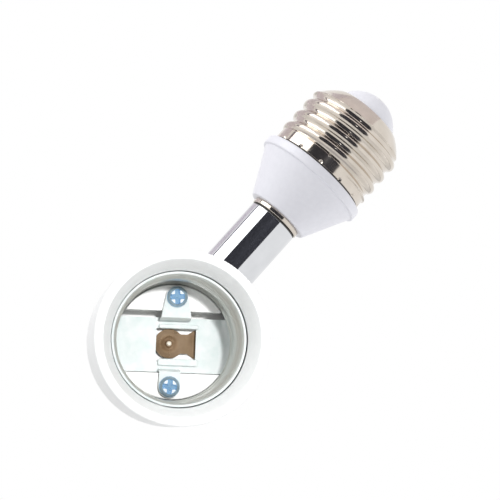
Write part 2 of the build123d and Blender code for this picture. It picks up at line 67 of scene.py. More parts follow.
PAD_STEPS = 20
WALL_STEPS = 44
BEND_STEPS = 6
WINDOW_HALF_ROWS = 3
EAR_TIP_STEPS = 45
EAR_STEPS = 12
EAR_FIRST_STEP = 2
EAR_HALF_COLUMNS = 4
TONGUE_STEPS = 56
TONGUE_HALF_COLUMNS = 14
HIGHLIGHT_STEPS = 8
RING_STEPS = 26
RIM_STEPS = 6
LAND_STEPS = 8
CARD_STEPS = 24
ROW_HEIGHT = 0.14
WELD_DISTANCE = 0.002
SHARP_ANGLE = radians(38)
DOME_SHARP_ANGLE = radians(50)
THREAD_SHARP_ANGLE = radians(60)

# Photograph: 500 pixels square, camera fitted to the object's own points
photo_size = 500
focal_pixels = 2142.278
target = Vector((0, 0, -31.0))
target_pixel = (227.159, 271.504)
camera_distance = 500.357
camera_azimuth = radians(-2.623)
camera_elevation = radians(-8.865)
camera_roll = radians(-41.895)

# Sizes of the screw cap that the frame's boxes don't give
thread_pitch = 3.629
thread_phase = 2.54
thread_depth = 0.97
thread_start = 2.6
thread_fade_in = 1.3
thread_fade_out = 2.2
thread_margin = 0.01
thread_rows_margin = 0.05
skirt_radius = 12.6
skirt_height = 3.2
skirt_wall = 0.56
skirt_shoulder = 0.7
skirt_edge = 0.1
skirt_bend = 0.5
cap_wall = 0.8
cap_root_bend = 0.4
cap_shoulder_height = 15.6
cap_top_radius = 8.93
cap_top_edge = 0.12
crimp_count = 13
crimp_turn = radians(-96.5)
crimp_height = 0.75
crimp_radius = 0.5
crimp_depth = 0.4
skirt_seam = 0.5
skirt_seam_depth = 0.45
seam_inset = 0.12
seam_low_gap = 0.02
seam_high_gap = 0.04
tip_flat_radius = 3.2
tip_flange_radius = 10.4
tip_bore_radius = 1.3
tip_bore_edge = 0.1
plug_gap = 0.2
plug_flange_gap = 0.05

# Sizes of the cone, the swivel and the arm
rim_height = 2.4
rim_top_edge = 0.55
rim_low_edge = 0.35
cone_step = 0.6
cone_step_bend = 0.2
cone_length = 13.3
cone_foot_radius = 7.7
cone_foot_edge = 0.45
spigot_wall = 1.62
spigot_edge = 0.3
cone_floor = -8.0
hollow_floor_radius = 6.9
press_gap = 0.02
stem_radius = 4.05
bush_barrel_radius = 4.9
bush_edge = 0.1
flange_edge = 0.22
arm_wall = 0.9
arm_inner_edge = 0.2
arm_end_edge = 0.3
arm_shoulder_edge = 0.1
swivel_gap = 0.35
swivel_gap_depth = 0.12
swivel_gap_edge = 0.05

# Sizes of the socket body and its block
inner_turn = radians(39.8)
socket_rear_radius = 8.6
socket_rear_edge = 0.8
socket_stem_radius = 5.05
socket_stem_edge = 0.2
rear_taper_length = 15.0
rear_taper_bend = 3.0
rear_wall = 3.0
mouth_radius = 16.55
mouth_depth = 6.4
mouth_outer_edge = 0.6
mouth_inner_edge = 0.35
cavity_radius = 14.5
cavity_bend = 0.3
ledge_reach = 24.0
ledge_width = 2.4
ledge_edge = 0.2
chamber_rear_radius = 8.9
chamber_rear_bend = 0.5
block_radius = 14.25
block_thickness = 4.0
block_edge = 0.3
platform_radius = 12.45
platform_height = 4.4
platform_edge = 0.25
platform_root = 0.5
channel_half = 6.75
groove_depth = 1.6
pad_low = -6.45
pad_high = 5.15

# Sizes of the screw shell, its strap and its ears
shell_radius = 13.3
shell_wall = 0.5
shell_foot_radius = 12.95
shell_wall_reach = 34.9
shell_cut_reach = 32.2
shell_lip_height = 1.0
shell_lip_gap = 0.2
shell_flare_power = 1.5
shell_ridge = 0.36
shell_ridge_fade_in = 1.0
shell_ridge_fade_out = 2.0
shell_foot_roll = 0.4
shell_roll_height = 0.7
shell_shift = -0.1
shell_bead = 0.26
sheet_edge = 0.12
strap_reach = 29.5
strap_width = 11.9
strap_drop = 0.6
strap_corner = 1.8
strap_row = 5.0
strap_flat = 9.0
strap_left_column = -6.5
strap_right_column = 7.0
window_length = 8.7
window_width = 7.2
window_shift = 0.9
window_columns = (-1.0, 1.0, 3.0)
lip_width = 0.9
lip_height = 0.8
lip_shift = 0.5
lip_root = 0.2
lip_edge = 0.3
lower_lip_inset = 0.6
top_ear_width = 6.6
bottom_ear_width = 4.6
ear_tip = 2.4
ear_root = 0.3
ear_lean = 0.05
ear_lean_height = 0.4
ear_bend_rise = 0.1
ear_bend_width = 0.2

# Sizes of the brass tongue
tongue_disc_radius = 3.2
tongue_disc_shift = -0.5
tongue_drop = 0.25
tongue_thickness = 0.4
tongue_lift = 0.9
tongue_neck_width = 4.2
tongue_neck_start = 3.7
tongue_width = 6.1
tongue_ramp_start = 5.0
tongue_end = 10.4
tongue_end_half_width = 0.02
tongue_crowding = 1.3
tongue_boss_radius = 1.0
tongue_boss_flat = 0.2
tongue_boss_height = 1.1
tongue_dish = 0.85
tongue_dish_reach = 2.2
# Radius of the painted highlight on the boss
highlight_radius = 0.6

# Sizes of the shell's screws
screw_place = 9.75
screw_shift = 0.5
screw_turn = radians(4)
screw_head_radius = 2.3
screw_head_height = 1.5
screw_shank_radius = 1.4
screw_tip_reach = 20.6
ring_crowding = 0.8
recess_reach = 1.75
recess_waist = 0.75
recess_depth = 0.6
recess_edge = 0.25
land_turn = radians(45)
land_gap = 0.1
land_end = 1.52
land_spread = radians(21)
rim_start = 1.62
rim_end = 2.27
skin = 0.05
skin_rise = 0.01


# Sizes from the frame
def span(node):
    """Lowest and highest corner of a CAD node, in millimetres."""
    low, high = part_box(node)
    return Vector(low) / MM, Vector(high) / MM


cap_high = span("cap_shell")[1]
tip_low, tip_high = span("cap_insulator")
cone_low, cone_high = span("base_cone")
bush_low, bush_high = span("swivel_bush")
tube_low, tube_high = span("arm_tube")
socket_low, socket_high = span("socket_body")
shell_low = span("screw_shell")[0]
joints = {joint["name"]: joint for joint in frame["record"]["behaviour"]["joints"]}
pivot = Vector(joints["elbow"]["pos_m"]) / MM

cap_crest_radius = cap_high.x
cap_root_radius = cap_crest_radius - thread_depth
rim_radius = cone_high.x
flange_radius = bush_high.x
tube_radius = tube_high.x
socket_radius = socket_high.x
mouth_reach = -socket_low.y
rear_reach = -socket_high.y
lip_reach = -shell_low.y
block_top = ledge_reach + block_thickness
platform_reach = block_top + platform_height
strap_top = strap_reach + shell_wall
screw_seat = platform_reach + shell_wall

cap_frame = Matrix.Identity(4)
u_axis = Vector((cos(inner_turn), 0, sin(inner_turn)))
v_axis = Vector((-sin(inner_turn), 0, cos(inner_turn)))
w_axis = Vector((0, -1, 0))
socket_frame = Matrix.Translation(pivot) @ Matrix((u_axis, v_axis, w_axis)).transposed().to_4x4()


# Mesh helpers
def smooth_step(low, high, x):
    """0 below low, 1 above high, with an easy change between them."""
    t = min(max((x - low) / (high - low), 0), 1)
    return t * t * (3 - 2 * t)


def full_turn(count):
    """Angles of points that are spread evenly round a circle."""
    return [tau * k / count for k in range(count)]


def rounded(corners):
    """Closed outline of (x, y, radius) corners, with an arc at each corner that has a radius."""
    points = []
    for i, (x, y, radius) in enumerate(corners):
        here = Vector((x, y))
        if radius == 0:
            points.append(here)
            continue
        before = (Vector(corners[i - 1][:2]) - here).normalized()
        after = (Vector(corners[(i + 1) % len(corners)][:2]) - here).normalized()
        half = before.angle(after) / 2
        centre = here + (before + after).normalized() * (radius / sin(half))
        start = here + before * (radius / tan(half)) - centre
        end = here + after * (radius / tan(half)) - centre
        turn = start.angle(end)
        for k in range(ARC_STEPS + 1):
            t = k / ARC_STEPS
            points.append(centre + (start * sin((1 - t) * turn) + end * sin(t * turn)) / sin(turn))
    return points


def dome(start, end, steps):
    """Points between two (radius, height) points, on the circle whose centre is on the axis."""
    centre = (end[0] ** 2 + end[1] ** 2 - start[0] ** 2 - start[1] ** 2) / (2 * (end[1] - start[1]))
    first = Vector((start[0], start[1] - centre))
    last = Vector((end[0], end[1] - centre))
    turn = first.angle(last)
    points = []
    for k in range(1, steps):
        t = k / steps
        point = (first * sin((1 - t) * turn) + last * sin(t * turn)) / sin(turn)
        points.append((point.x, point.y + centre, 0))
    return points


def divided(points, step, inside):
    """Closed outline with the long runs that lie outside a radius divided into short ones."""
    result = []
    for i, here in enumerate(points):
        after = points[(i + 1) % len(points)]
        outer = min(here.x, after.x) > inside
        count = max(1, round((after - here).length / step)) if outer else 1
        result += [here.lerp(after, k / count) for k in range(count)]
    return result


def revolved(points, swell=None, segments=SEGMENTS):
    """Closed outline of (radius, height) points turned about the local Z axis."""
    vertices = []
    faces = []
    count = len(points)
    for k, angle in enumerate(full_turn(segments)):
        for radius, height in points:
            r = radius + swell(angle, radius, height) if swell else radius
            vertices.append((r * cos(angle), r * sin(angle), height))
        ahead = (k + 1) % segments * count
        for i in range(count):
            j = (i + 1) % count
            faces.append((k * count + i, ahead + i, ahead + j, k * count + j))
    return vertices, faces


def prism(outline, low, high):
    """Straight prism on a closed (u, v) outline."""
    count = len(outline)
    vertices = [(x, y, low) for x, y in outline] + [(x, y, high) for x, y in outline]
    faces = [tuple(reversed(range(count))), tuple(range(count, 2 * count))]
    faces += [(i, (i + 1) % count, count + (i + 1) % count, count + i) for i in range(count)]
    return vertices, faces


def sheet(rows, closed=False, skip=()):
    """Grid of quads over rows of points, without the faces in skip."""
    width = len(rows[0])
    vertices = [point for row in rows for point in row]
    faces = []
    for i in range(len(rows) - 1):
        for j in range(width if closed else width - 1):
            if (i, j) not in skip:
                k = (j + 1) % width
                faces.append((i * width + j, i * width + k, (i + 1) * width + k, (i + 1) * width + j))
    return vertices, faces


def merged(*meshes):
    """Several meshes as one."""
    vertices = []
    faces = []
    for more_vertices, more_faces in meshes:
        start = len(vertices)
        vertices += more_vertices
        faces += [tuple(start + i for i in face) for face in more_faces]
    return vertices, faces


# Materials
NOISE_DETAIL = 5
NOISE_LOW = 0.3
NOISE_HIGH = 0.7
relief_height = 0.1


def surface(name, dark, light, roughness, grain, bump=0.0, metallic=0.0):
    """Principled material whose colour, gloss and relief vary with one fine noise."""
    material = bpy.data.materials.new(name)
    material.use_nodes = True
    nodes = material.node_tree.nodes
    links = material.node_tree.links
    shader = nodes["Principled BSDF"]
    shader.inputs["Metallic"].default_value = metallic
    place = nodes.new("ShaderNodeTexCoord")
    noise = nodes.new("ShaderNodeTexNoise")
    noise.inputs["Scale"].default_value = grain
    noise.inputs["Detail"].default_value = NOISE_DETAIL
    tint = nodes.new("ShaderNodeValToRGB")
    tint.color_ramp.elements[0].position = NOISE_LOW
    tint.color_ramp.elements[1].position = NOISE_HIGH
    tint.color_ramp.elements[0].color = (*dark, 1)
    tint.color_ramp.elements[1].color = (*light, 1)
    gloss = nodes.new("ShaderNodeMapRange")
    gloss.inputs["From Min"].default_value = NOISE_LOW
    gloss.inputs["From Max"].default_value = NOISE_HIGH
    gloss.inputs["To Min"].default_value = roughness[0]
    gloss.inputs["To Max"].default_value = roughness[1]
    links.new(place.outputs["Object"], noise.inputs["Vector"])
    links.new(noise.outputs["Fac"], tint.inputs["Fac"])
    links.new(noise.outputs["Fac"], gloss.inputs["Value"])
    links.new(tint.outputs["Color"], shader.inputs["Base Color"])
    links.new(gloss.outputs["Result"], shader.inputs["Roughness"])
    if bump:
        relief = nodes.new("ShaderNodeBump")
        relief.inputs["Strength"].default_value = bump
        relief.inputs["Distance"].default_value = relief_height * MM
        links.new(noise.outputs["Fac"], relief.inputs["Height"])
        links.new(relief.outputs["Normal"], shader.inputs["Normal"])
    return material


# Each look: dark and light colour, least and greatest roughness, grain, bump, metallic
looks = {
    "nickel": ((0.63, 0.57, 0.50), (0.71, 0.65, 0.58), (0.08, 0.15), 260, 0.04, 1.0),
    "chrome": ((0.67, 0.68, 0.70), (0.74, 0.75, 0.77), (0.03, 0.07), 180, 0.01, 1.0),
    "white_plastic": ((0.765, 0.765, 0.82), (0.795, 0.795, 0.85), (0.30, 0.38), 900, 0.05, 0.0),
    "body_plastic": ((0.79, 0.80, 0.80), (0.82, 0.83, 0.83), (0.30, 0.38), 900, 0.05, 0.0),
    "tip_plastic": ((0.84, 0.84, 0.90), (0.87, 0.87, 0.93), (0.28, 0.36), 900, 0.04, 0.0),
    "block_plastic": ((0.90, 0.90, 0.89), (0.93, 0.93, 0.92), (0.40, 0.50), 700, 0.06, 0.0),
    "plated_shell": ((0.56, 0.57, 0.54), (0.63, 0.64, 0.61), (0.28, 0.34), 160, 0.01, 0.6),
    "strap_plate": ((0.65, 0.72, 0.71), (0.77, 0.79, 0.79), (0.36, 0.48), 420, 0.08, 0.1),
    "brass": ((0.27, 0.18, 0.105), (0.44, 0.31, 0.20), (0.22, 0.36), 260, 0.20, 0.5),
    "solder_brass": ((0.60, 0.53, 0.40), (0.72, 0.65, 0.52), (0.30, 0.45), 600, 0.12, 0.9),
    "blue_zinc": ((0.265, 0.50, 0.79), (0.415, 0.66, 0.875), (0.22, 0.34), 700, 0.08, 0.5),
    "steel": ((0.50, 0.50, 0.51), (0.62, 0.62, 0.63), (0.22, 0.34), 500, 0.05, 1.0),
    "lead_cover": ((0.62, 0.61, 0.58), (0.70, 0.69, 0.66), (0.45, 0.55), 500, 0.05, 0.0),
    # Near black: painted shadow in the seam under the skirt and in the groove under the swivel ring
    "painted_shadow": ((0.03, 0.03, 0.03), (0.06, 0.055, 0.05), (0.50, 0.60), 500, 0.0, 0.0),
    # Pale brass skin on the boss: a painted highlight
    "brass_painted_highlight": ((0.92, 0.84, 0.68), (0.97, 0.92, 0.80), (0.25, 0.35), 700, 0.05, 0.2),
    # Pale zinc on the screws' corners is a painted highlight, dark zinc on their rims painted shade
    "zinc_painted_highlight": ((0.80, 0.88, 0.94), (0.90, 0.94, 0.98), (0.25, 0.35), 700, 0.05, 0.2),
    "zinc_painted_shade": ((0.24, 0.33, 0.40), (0.34, 0.45, 0.52), (0.28, 0.40), 700, 0.08, 0.5),
}
materials = {name: surface(name, *look) for name, look in looks.items()}

# Materials of the CAD nodes, whose slots have the names of looks
for subpart in frame["record"]["subparts"]:
    node = frame["nodes"][subpart["node"]]
    node.data.materials.clear()
    node.data.materials.append(materials[subpart["material_slot"]])


# Pieces of the object
def piece(name, mesh_data, place, node, body, look, sharp=SHARP_ANGLE):
    """Object that stands for a CAD node, made from vertices and faces in a local frame."""
    vertices, faces = mesh_data
    mesh = bpy.data.meshes.new(name)
    mesh.from_pydata([(place @ Vector(v)) * MM for v in vertices], [], faces)
    work = bmesh.new()
    work.from_mesh(mesh)
    bmesh.ops.remove_doubles(work, verts=work.verts, dist=WELD_DISTANCE * MM)
    bmesh.ops.recalc_face_normals(work, faces=work.faces)
    work.to_mesh(mesh)
    work.free()
    mesh.shade_smooth()
    mesh.set_sharp_from_angle(angle=sharp)
    mesh.materials.append(materials[look])
    made = bpy.data.objects.new(name, mesh)
    bpy.context.scene.collection.objects.link(made)
    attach(made, body)
    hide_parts(node)
    return made


def bevel(made, width, segments=2):
    """Small rounding on the sharp edges of a piece."""
    modifier = made.modifiers.new("edge rounding", "BEVEL")
    modifier.width = width * MM
    modifier.segments = segments
    modifier.limit_method = "ANGLE"
    modifier.angle_limit = SHARP_ANGLE


def thicken(made, thickness, side):
    """Thickness of a sheet, on one side of it."""
    modifier = made.modifiers.new("sheet thickness", "SOLIDIFY")
    modifier.thickness = thickness * MM
    modifier.offset = side


# Screw cap: rolled thread, crimped skirt and rounded shoulder
thread_arc = (thread_depth**2 + (thread_pitch / 2) ** 2) / (4 * thread_depth)


def thread_wave(off_crest):
    """Height of the rolled thread at a distance from its crest: one arc at the crest, one at the root."""
    if off_crest < thread_pitch / 4:
        return thread_depth - thread_arc + sqrt(thread_arc**2 - off_crest**2)
    return thread_arc - sqrt(thread_arc**2 - (thread_pitch / 2 - off_crest) ** 2)


def cap_swell(angle, radius, height):
    """How far the thread stands out of the plain cap, less the crimps in the skirt."""
    if radius < cap_root_radius - thread_margin:
        return 0
    lag = (height - thread_phase) / thread_pitch - angle / tau
    off_crest = abs((lag + 0.5) % 1 - 0.5) * thread_pitch
    ridge = cap_root_radius + thread_wave(off_crest)
    fade_in = skirt_radius + (height - thread_start) / thread_fade_in * 2 * thread_depth
    fade_out = cap_root_radius + (cap_shoulder_height - height) / thread_fade_out * 2 * thread_depth
    stand = max(0, min(ridge, fade_in, fade_out) - radius)
    step = tau / crimp_count
    off = ((angle - crimp_turn + step / 2) % step - step / 2) * skirt_radius
    far = (off**2 + (height - crimp_height) ** 2) / crimp_radius**2
    return stand - crimp_depth * max(0, 1 - far)


skirt_inner_radius = skirt_radius - skirt_wall
seam_radius = skirt_radius - skirt_seam_depth
shoulder_start = (cap_root_radius, cap_shoulder_height)
shoulder_end = (cap_top_radius, cap_high.z)
cap_outline = rounded([
    (skirt_inner_radius, 0, 0),
    (seam_radius, 0, 0),
    (seam_radius, skirt_seam, 0),
    (skirt_radius, skirt_seam, skirt_edge),
    (skirt_radius, skirt_height, skirt_bend),
    (cap_root_radius, skirt_height + skirt_shoulder, cap_root_bend),
    (*shoulder_start, 0),
    *dome(shoulder_start, shoulder_end, SHOULDER_STEPS),
    (*shoulder_end, cap_top_edge),
    (cap_top_radius - cap_wall, cap_high.z - cap_wall, 0),
    (cap_root_radius - cap_wall, cap_shoulder_height - cap_wall, 0),
    (cap_root_radius - cap_wall, skirt_height + skirt_shoulder, 0),
    (skirt_inner_radius, skirt_height, 0),
])
cap_rows = divided(cap_outline, ROW_HEIGHT, cap_root_radius - thread_rows_margin)
cap_mesh = revolved(cap_rows, cap_swell, CAP_SEGMENTS)
piece("cap_shell_rolled", cap_mesh, cap_frame, "cap_shell", "base", "nickel", THREAD_SHARP_ANGLE)

# Ring in the groove under the skirt, coloured near black: painted shadow in the seam
seam_outline = [
    (seam_radius, seam_low_gap),
    (skirt_radius - seam_inset, seam_low_gap),
    (skirt_radius - seam_inset, skirt_seam - seam_high_gap),
    (seam_radius, skirt_seam - seam_high_gap),
]
piece("skirt_seam", revolved(seam_outline), cap_frame, "cap_shell", "base", "painted_shadow")

# White tip of the cap
plug_radius = cap_top_radius - cap_wall - plug_gap
dome_start = (plug_radius, cap_high.z)
dome_end = (tip_flat_radius, tip_high.z)
tip_mesh = revolved(rounded([
    (tip_bore_radius, tip_low.z, 0),
    (tip_flange_radius, tip_low.z, 0),
    (plug_radius, cap_high.z - cap_wall - plug_flange_gap, 0),
    (*dome_start, 0),
    *dome(dome_start, dome_end, TIP_STEPS),
    (*dome_end, 0),
    (tip_bore_radius, tip_high.z, tip_bore_edge),
]))
piece("cap_tip_moulded", tip_mesh, cap_frame, "cap_insulator", "base", "tip_plastic", DOME_SHARP_ANGLE)

# White cone with its rim band
spigot_radius = skirt_inner_radius - press_gap
cone_bore_radius = bush_barrel_radius + press_gap
cone_mesh = revolved(rounded([
    (spigot_radius, cone_high.z, spigot_edge),
    (spigot_radius, 0, 0),
    (rim_radius, 0, rim_top_edge),
    (rim_radius, -rim_height, rim_low_edge),
    (rim_radius - cone_step, -rim_height, cone_step_bend),
    (cone_foot_radius, cone_low.z, cone_foot_edge),
    (cone_bore_radius, cone_low.z, 0),
    (cone_bore_radius, cone_floor, 0),
    (hollow_floor_radius, cone_floor, 0),
    (skirt_inner_radius - spigot_wall, cone_high.z, spigot_edge),
]))
piece("cone_moulded", cone_mesh, cap_frame, "base_cone", "base", "white_plastic")

# Thin nickel ring of the swivel
bush_mesh = revolved(rounded([
    (stem_radius, bush_low.z, bush_edge),
    (flange_radius, bush_low.z, flange_edge),
    (flange_radius, -cone_length, flange_edge),
    (bush_barrel_radius, -cone_length, 0),
    (bush_barrel_radius, bush_high.z, bush_edge),
    (stem_radius, bush_high.z, bush_edge),
]))
piece("swivel_bush_turned", bush_mesh, cap_frame, "swivel_bush", "base", "nickel")

# Chrome arm, and a shallow groove at its top under the ring, coloured near black: painted shadow between
# the arm and the ring
tube_shoulder = tube_high.z - swivel_gap
gap_radius = tube_radius - swivel_gap_depth
tube_mesh = revolved(rounded([
    (tube_radius - arm_wall, tube_low.z, arm_inner_edge),
    (tube_radius, tube_low.z, arm_end_edge),
    (tube_radius, tube_shoulder, arm_shoulder_edge),
    (tube_radius - arm_wall, tube_shoulder, arm_shoulder_edge),
]))
gap_mesh = revolved(rounded([
    (tube_radius - arm_wall, tube_shoulder, 0),
    (gap_radius, tube_shoulder, 0),
    (gap_radius, tube_high.z, swivel_gap_edge),
    (tube_radius - arm_wall, tube_high.z, 0),
]))
piece("arm_tube_drawn", tube_mesh, cap_frame, "arm_tube", "arm", "chrome")
# The groove's near-black colour is painted shadow
piece("swivel_gap", gap_mesh, cap_frame, "arm_tube", "arm", "painted_shadow")

# White socket body
body_mesh = revolved(rounded([
    (socket_stem_radius, rear_reach, socket_stem_edge),
    (socket_rear_radius, rear_reach, socket_rear_edge),
    (socket_radius, rear_reach + rear_taper_length, rear_taper_bend),
    (socket_radius, mouth_reach, mouth_outer_edge),
    (mouth_radius, mouth_reach, mouth_inner_edge),
    (cavity_radius, mouth_reach - mouth_depth, cavity_bend),
    (cavity_radius, ledge_reach, 0),
    (cavity_radius - ledge_width, ledge_reach, ledge_edge),
    (chamber_rear_radius, rear_reach + rear_wall, chamber_rear_bend),
    (socket_stem_radius, rear_reach + rear_wall, 0),
]))
piece("socket_body_moulded", body_mesh, socket_frame, "socket_body", "socket", "body_plastic")

# Insulating block: two raised platforms, and a pad under the strap with a groove on each side
groove_floor = block_top - groove_depth
block_disc = revolved(rounded([
    (0, ledge_reach, 0),
    (block_radius, ledge_reach, block_edge),
    (block_radius, groove_floor, block_edge),
    (0, groove_floor, 0),
]))
platform_angle = acos(channel_half / platform_radius)
platform_turns = [platform_angle * k / PLATFORM_STEPS for k in range(-PLATFORM_STEPS, PLATFORM_STEPS + 1)]
platforms = []
for side in (1, -1):
    arc = [(platform_radius * sin(turn), side * platform_radius * cos(turn)) for turn in platform_turns]
    platforms.append(prism(arc, groove_floor - platform_root, platform_reach))
pad_places = [pad_low + (pad_high - pad_low) * k / PAD_STEPS for k in range(PAD_STEPS + 1)]
pad_outline = [(sqrt(platform_radius**2 - v**2), v) for v in pad_places]
pad_outline += [(-u, v) for u, v in reversed(pad_outline)]
pad = prism(pad_outline, groove_floor - platform_root, block_top)
block_mesh = merged(block_disc, pad, *platforms)
block = piece("block_moulded", block_mesh, socket_frame, "insulator_block", "socket", "block_plastic")
bevel(block, platform_edge)

# Sheet metal screw shell: rolled wall and flared lip with its bead
wall_top = lip_reach - shell_bead
wall_frame = socket_frame @ Matrix.Translation((shell_shift, 0, 0))


def wall_radius(reach):
    """Radius of the wall without its ridges: drawn-in foot with a rolled edge, and flared lip."""
    foot = 1 - smooth_step(shell_cut_reach, shell_wall_reach, reach)
    roll = max(0, 1 - (reach - shell_cut_reach) / shell_roll_height)
    flare = max(0, (reach - wall_top + shell_lip_height) / shell_lip_height)
    radius = shell_radius - (shell_radius - shell_foot_radius) * foot - shell_foot_roll * roll**2
    return radius + (cavity_radius - shell_lip_gap - shell_wall - shell_radius) * flare**shell_flare_power


def ridge_height(reach, angle):
    """How far the thread's ridges stand into the shell, fading at the foot and under the lip."""
    wave = (1 + cos(tau * reach / thread_pitch - angle)) / 2
    fade_in = smooth_step(shell_wall_reach, shell_wall_reach + shell_ridge_fade_in, reach)
    fade_out = smooth_step(wall_top - shell_ridge_fade_out, wall_top - shell_lip_height, reach)
    return shell_ridge * wave * fade_in * (1 - fade_out)


wall_rows = []
for i in range(WALL_STEPS + 1):
    reach = shell_cut_reach + (wall_top - shell_cut_reach) * i / WALL_STEPS
    row = []
    for angle in full_turn(SEGMENTS):
        radius = wall_radius(reach) - ridge_height(reach, angle)
        row.append((radius * cos(angle), radius * sin(angle), reach))
    wall_rows.append(row)
wall_mesh = sheet(wall_rows, closed=True)
wall = piece("shell_wall_rolled", wall_mesh, wall_frame, "screw_shell", "socket", "plated_shell")
# The bead takes the strap's paler plating, lighter than the wall: a painted highlight along the lip
bead_radius = cavity_radius - shell_lip_gap - shell_wall / 2
bead_mesh = revolved([
    (bead_radius + shell_bead * cos(turn), wall_top + shell_bead * sin(turn))
    for turn in full_turn(BEAD_SEGMENTS)
])
piece("shell_lip_bead", bead_mesh, wall_frame, "screw_shell", "socket", "strap_plate")

# Strap across the foot, with its window
strap_half = strap_width / 2
window_half = window_width / 2
window_low = window_shift - window_length / 2
window_high = window_shift + window_length / 2
window_rows = [window_half * k / WINDOW_HALF_ROWS for k in range(-WINDOW_HALF_ROWS, WINDOW_HALF_ROWS + 1)]
v_places = [-strap_half, -strap_row, *window_rows, strap_row, strap_half]
flat_places = [
    -strap_flat,
    strap_left_column,
    window_low,
    *window_columns,
    window_high,
    strap_right_column,
    strap_flat,
]
strap_bend = []
for k in range(BEND_STEPS + 1):
    turn = pi / 2 * k / BEND_STEPS
    radius = shell_foot_radius - strap_corner * (1 - sin(turn))
    strap_bend.append((radius, strap_top + strap_corner * (1 - cos(turn))))
strap_bend.append((shell_foot_radius, shell_cut_reach))
strap_rows = []
for place in v_places:
    v = place - strap_drop
    bend = [(sqrt(radius**2 - v**2), reach) for radius, reach in strap_bend]
    row = [(-u, v, reach) for u, reach in reversed(bend)]
    row += [(u, v, strap_top) for u in flat_places]
    row += [(u, v, reach) for u, reach in bend]
    strap_rows.append(row)
window_faces = {
    (i, len(strap_bend) + j)
    for i in range(len(v_places) - 1)
    for j in range(len(flat_places) - 1)
    if abs(v_places[i] + v_places[i + 1]) < window_width and window_low <= flat_places[j] < window_high
}
strap_sheet = sheet(strap_rows, skip=window_faces)


# Ears that the screws clamp
def ear_half_width(far, length, width):
    """Half width of an ear at a distance from the strap's edge, up to its round tip."""
    widest = 0
    for k in range(-EAR_TIP_STEPS, EAR_TIP_STEPS + 1):
        turn = pi / 2 * k / EAR_TIP_STEPS
        along = length + ear_tip * sin(turn)
        if along >= far:
            widest = max(widest, width / 2 + (ear_tip * cos(turn) - width / 2) * far / along)
    return widest


ear_columns = [k / EAR_HALF_COLUMNS for k in range(-EAR_HALF_COLUMNS, EAR_HALF_COLUMNS + 1)]
ear_sheets = []
for side, width in ((1, top_ear_width), (-1, bottom_ear_width)):
    edge = strap_half - side * strap_drop
    length = screw_place - edge
    path = [
        (-ear_root, strap_top),
        (-ear_lean, strap_top + ear_lean_height),
        (0, platform_reach + ear_bend_rise),
        (ear_bend_width, screw_seat),
    ]
    for k in range(EAR_FIRST_STEP, EAR_STEPS + 1):
        path.append(((length + ear_tip) * sin(pi / 2 * k / EAR_STEPS), screw_seat))
    rows = []
    for far, reach in path:
        half_width = ear_half_width(max(far, 0), length, width)
        v = side * (edge + far)
        rows.append([(side * screw_shift + half_width * column, v, reach) for column in ear_columns])
    ear_sheets.append(sheet(rows))
strap_mesh = merged(strap_sheet, *ear_sheets)
strap = piece("strap_pressed", strap_mesh, socket_frame, "screw_shell", "socket", "strap_plate")
for made in (wall, strap):
    thicken(made, shell_wall, 1)
    bevel(made, sheet_edge)

# Bent-up lips of the window
u_low = window_low + lip_shift
u_high = window_high + lip_shift
lips = []
for side, inset in ((1, 0), (-1, lower_lip_inset)):
    v_low = side * (window_half - inset) - strap_drop
    v_high = side * (window_half + lip_width) - strap_drop
    outline = [(u_low, v_low), (u_high, v_low), (u_high, v_high), (u_low, v_high)]
    lips.append(prism(outline[::side], strap_top - lip_root, strap_top + lip_height))
lip_piece = piece("window_lips", merged(*lips), socket_frame, "screw_shell", "socket", "strap_plate")
bevel(lip_piece, lip_edge, segments=3)

# Brass tongue with its boss
disc_start = tongue_disc_shift - tongue_disc_radius
disc_end = tongue_disc_shift + tongue_disc_radius
tongue_top = block_top + tongue_thickness


def tongue_half_width(u):
    """Half width of the keyhole strip at u."""
    off = u - tongue_disc_shift
    disc = sqrt(max(tongue_disc_radius**2 - off**2, 0))
    if u < tongue_disc_shift:
        return disc
    neck = tongue_neck_width / 2
    widening = (u - tongue_neck_start) / (tongue_ramp_start - tongue_neck_start)
    fan = neck + (tongue_width / 2 - neck) * widening
    return max(disc, min(max(neck, fan), tongue_width / 2))


def boss_height(far):
    """Height of the boss, less the dish round it, at a distance from its middle."""
    flat = tongue_boss_flat * tongue_boss_radius
    boss = tongue_boss_height * (1 - smooth_step(flat, tongue_boss_radius, far))
    return boss - tongue_dish * (1 - smooth_step(tongue_boss_radius, tongue_dish_reach, far))


tongue_rows = []
for i in range(TONGUE_STEPS + 1):
    u = disc_start + (tongue_end - disc_start) * (i / TONGUE_STEPS) ** tongue_crowding
    half_width = max(tongue_half_width(u), tongue_end_half_width)
    lift = tongue_lift * (1 - smooth_step(disc_end, tongue_ramp_start, u))
    row = []
    for k in range(-TONGUE_HALF_COLUMNS, TONGUE_HALF_COLUMNS + 1):
        v = half_width * k / TONGUE_HALF_COLUMNS
        far = sqrt((u - tongue_disc_shift) ** 2 + v**2)
        row.append((u, v - tongue_drop, tongue_top + lift + boss_height(far)))
    tongue_rows.append(row)
tongue = piece("tongue_pressed", sheet(tongue_rows), socket_frame, "centre_contact", "socket", "brass")
thicken(tongue, tongue_thickness, -1)

# Paler brass skin on the top of the boss: a painted highlight
highlight_rows = []
for i in range(HIGHLIGHT_STEPS + 1):
    far = highlight_radius * i / HIGHLIGHT_STEPS
    reach = tongue_top + tongue_lift + boss_height(far) + skin_rise
    highlight_rows.append([
        (tongue_disc_shift + far * cos(turn), far * sin(turn) - tongue_drop, reach)
        for turn in full_turn(BOSS_SEGMENTS)
    ])
highlight_mesh = sheet(highlight_rows, closed=True)
boss_highlight = piece("boss_painted_highlight", highlight_mesh, socket_frame, "centre_contact", "socket", "brass_painted_highlight")
thicken(boss_highlight, skin, -1)


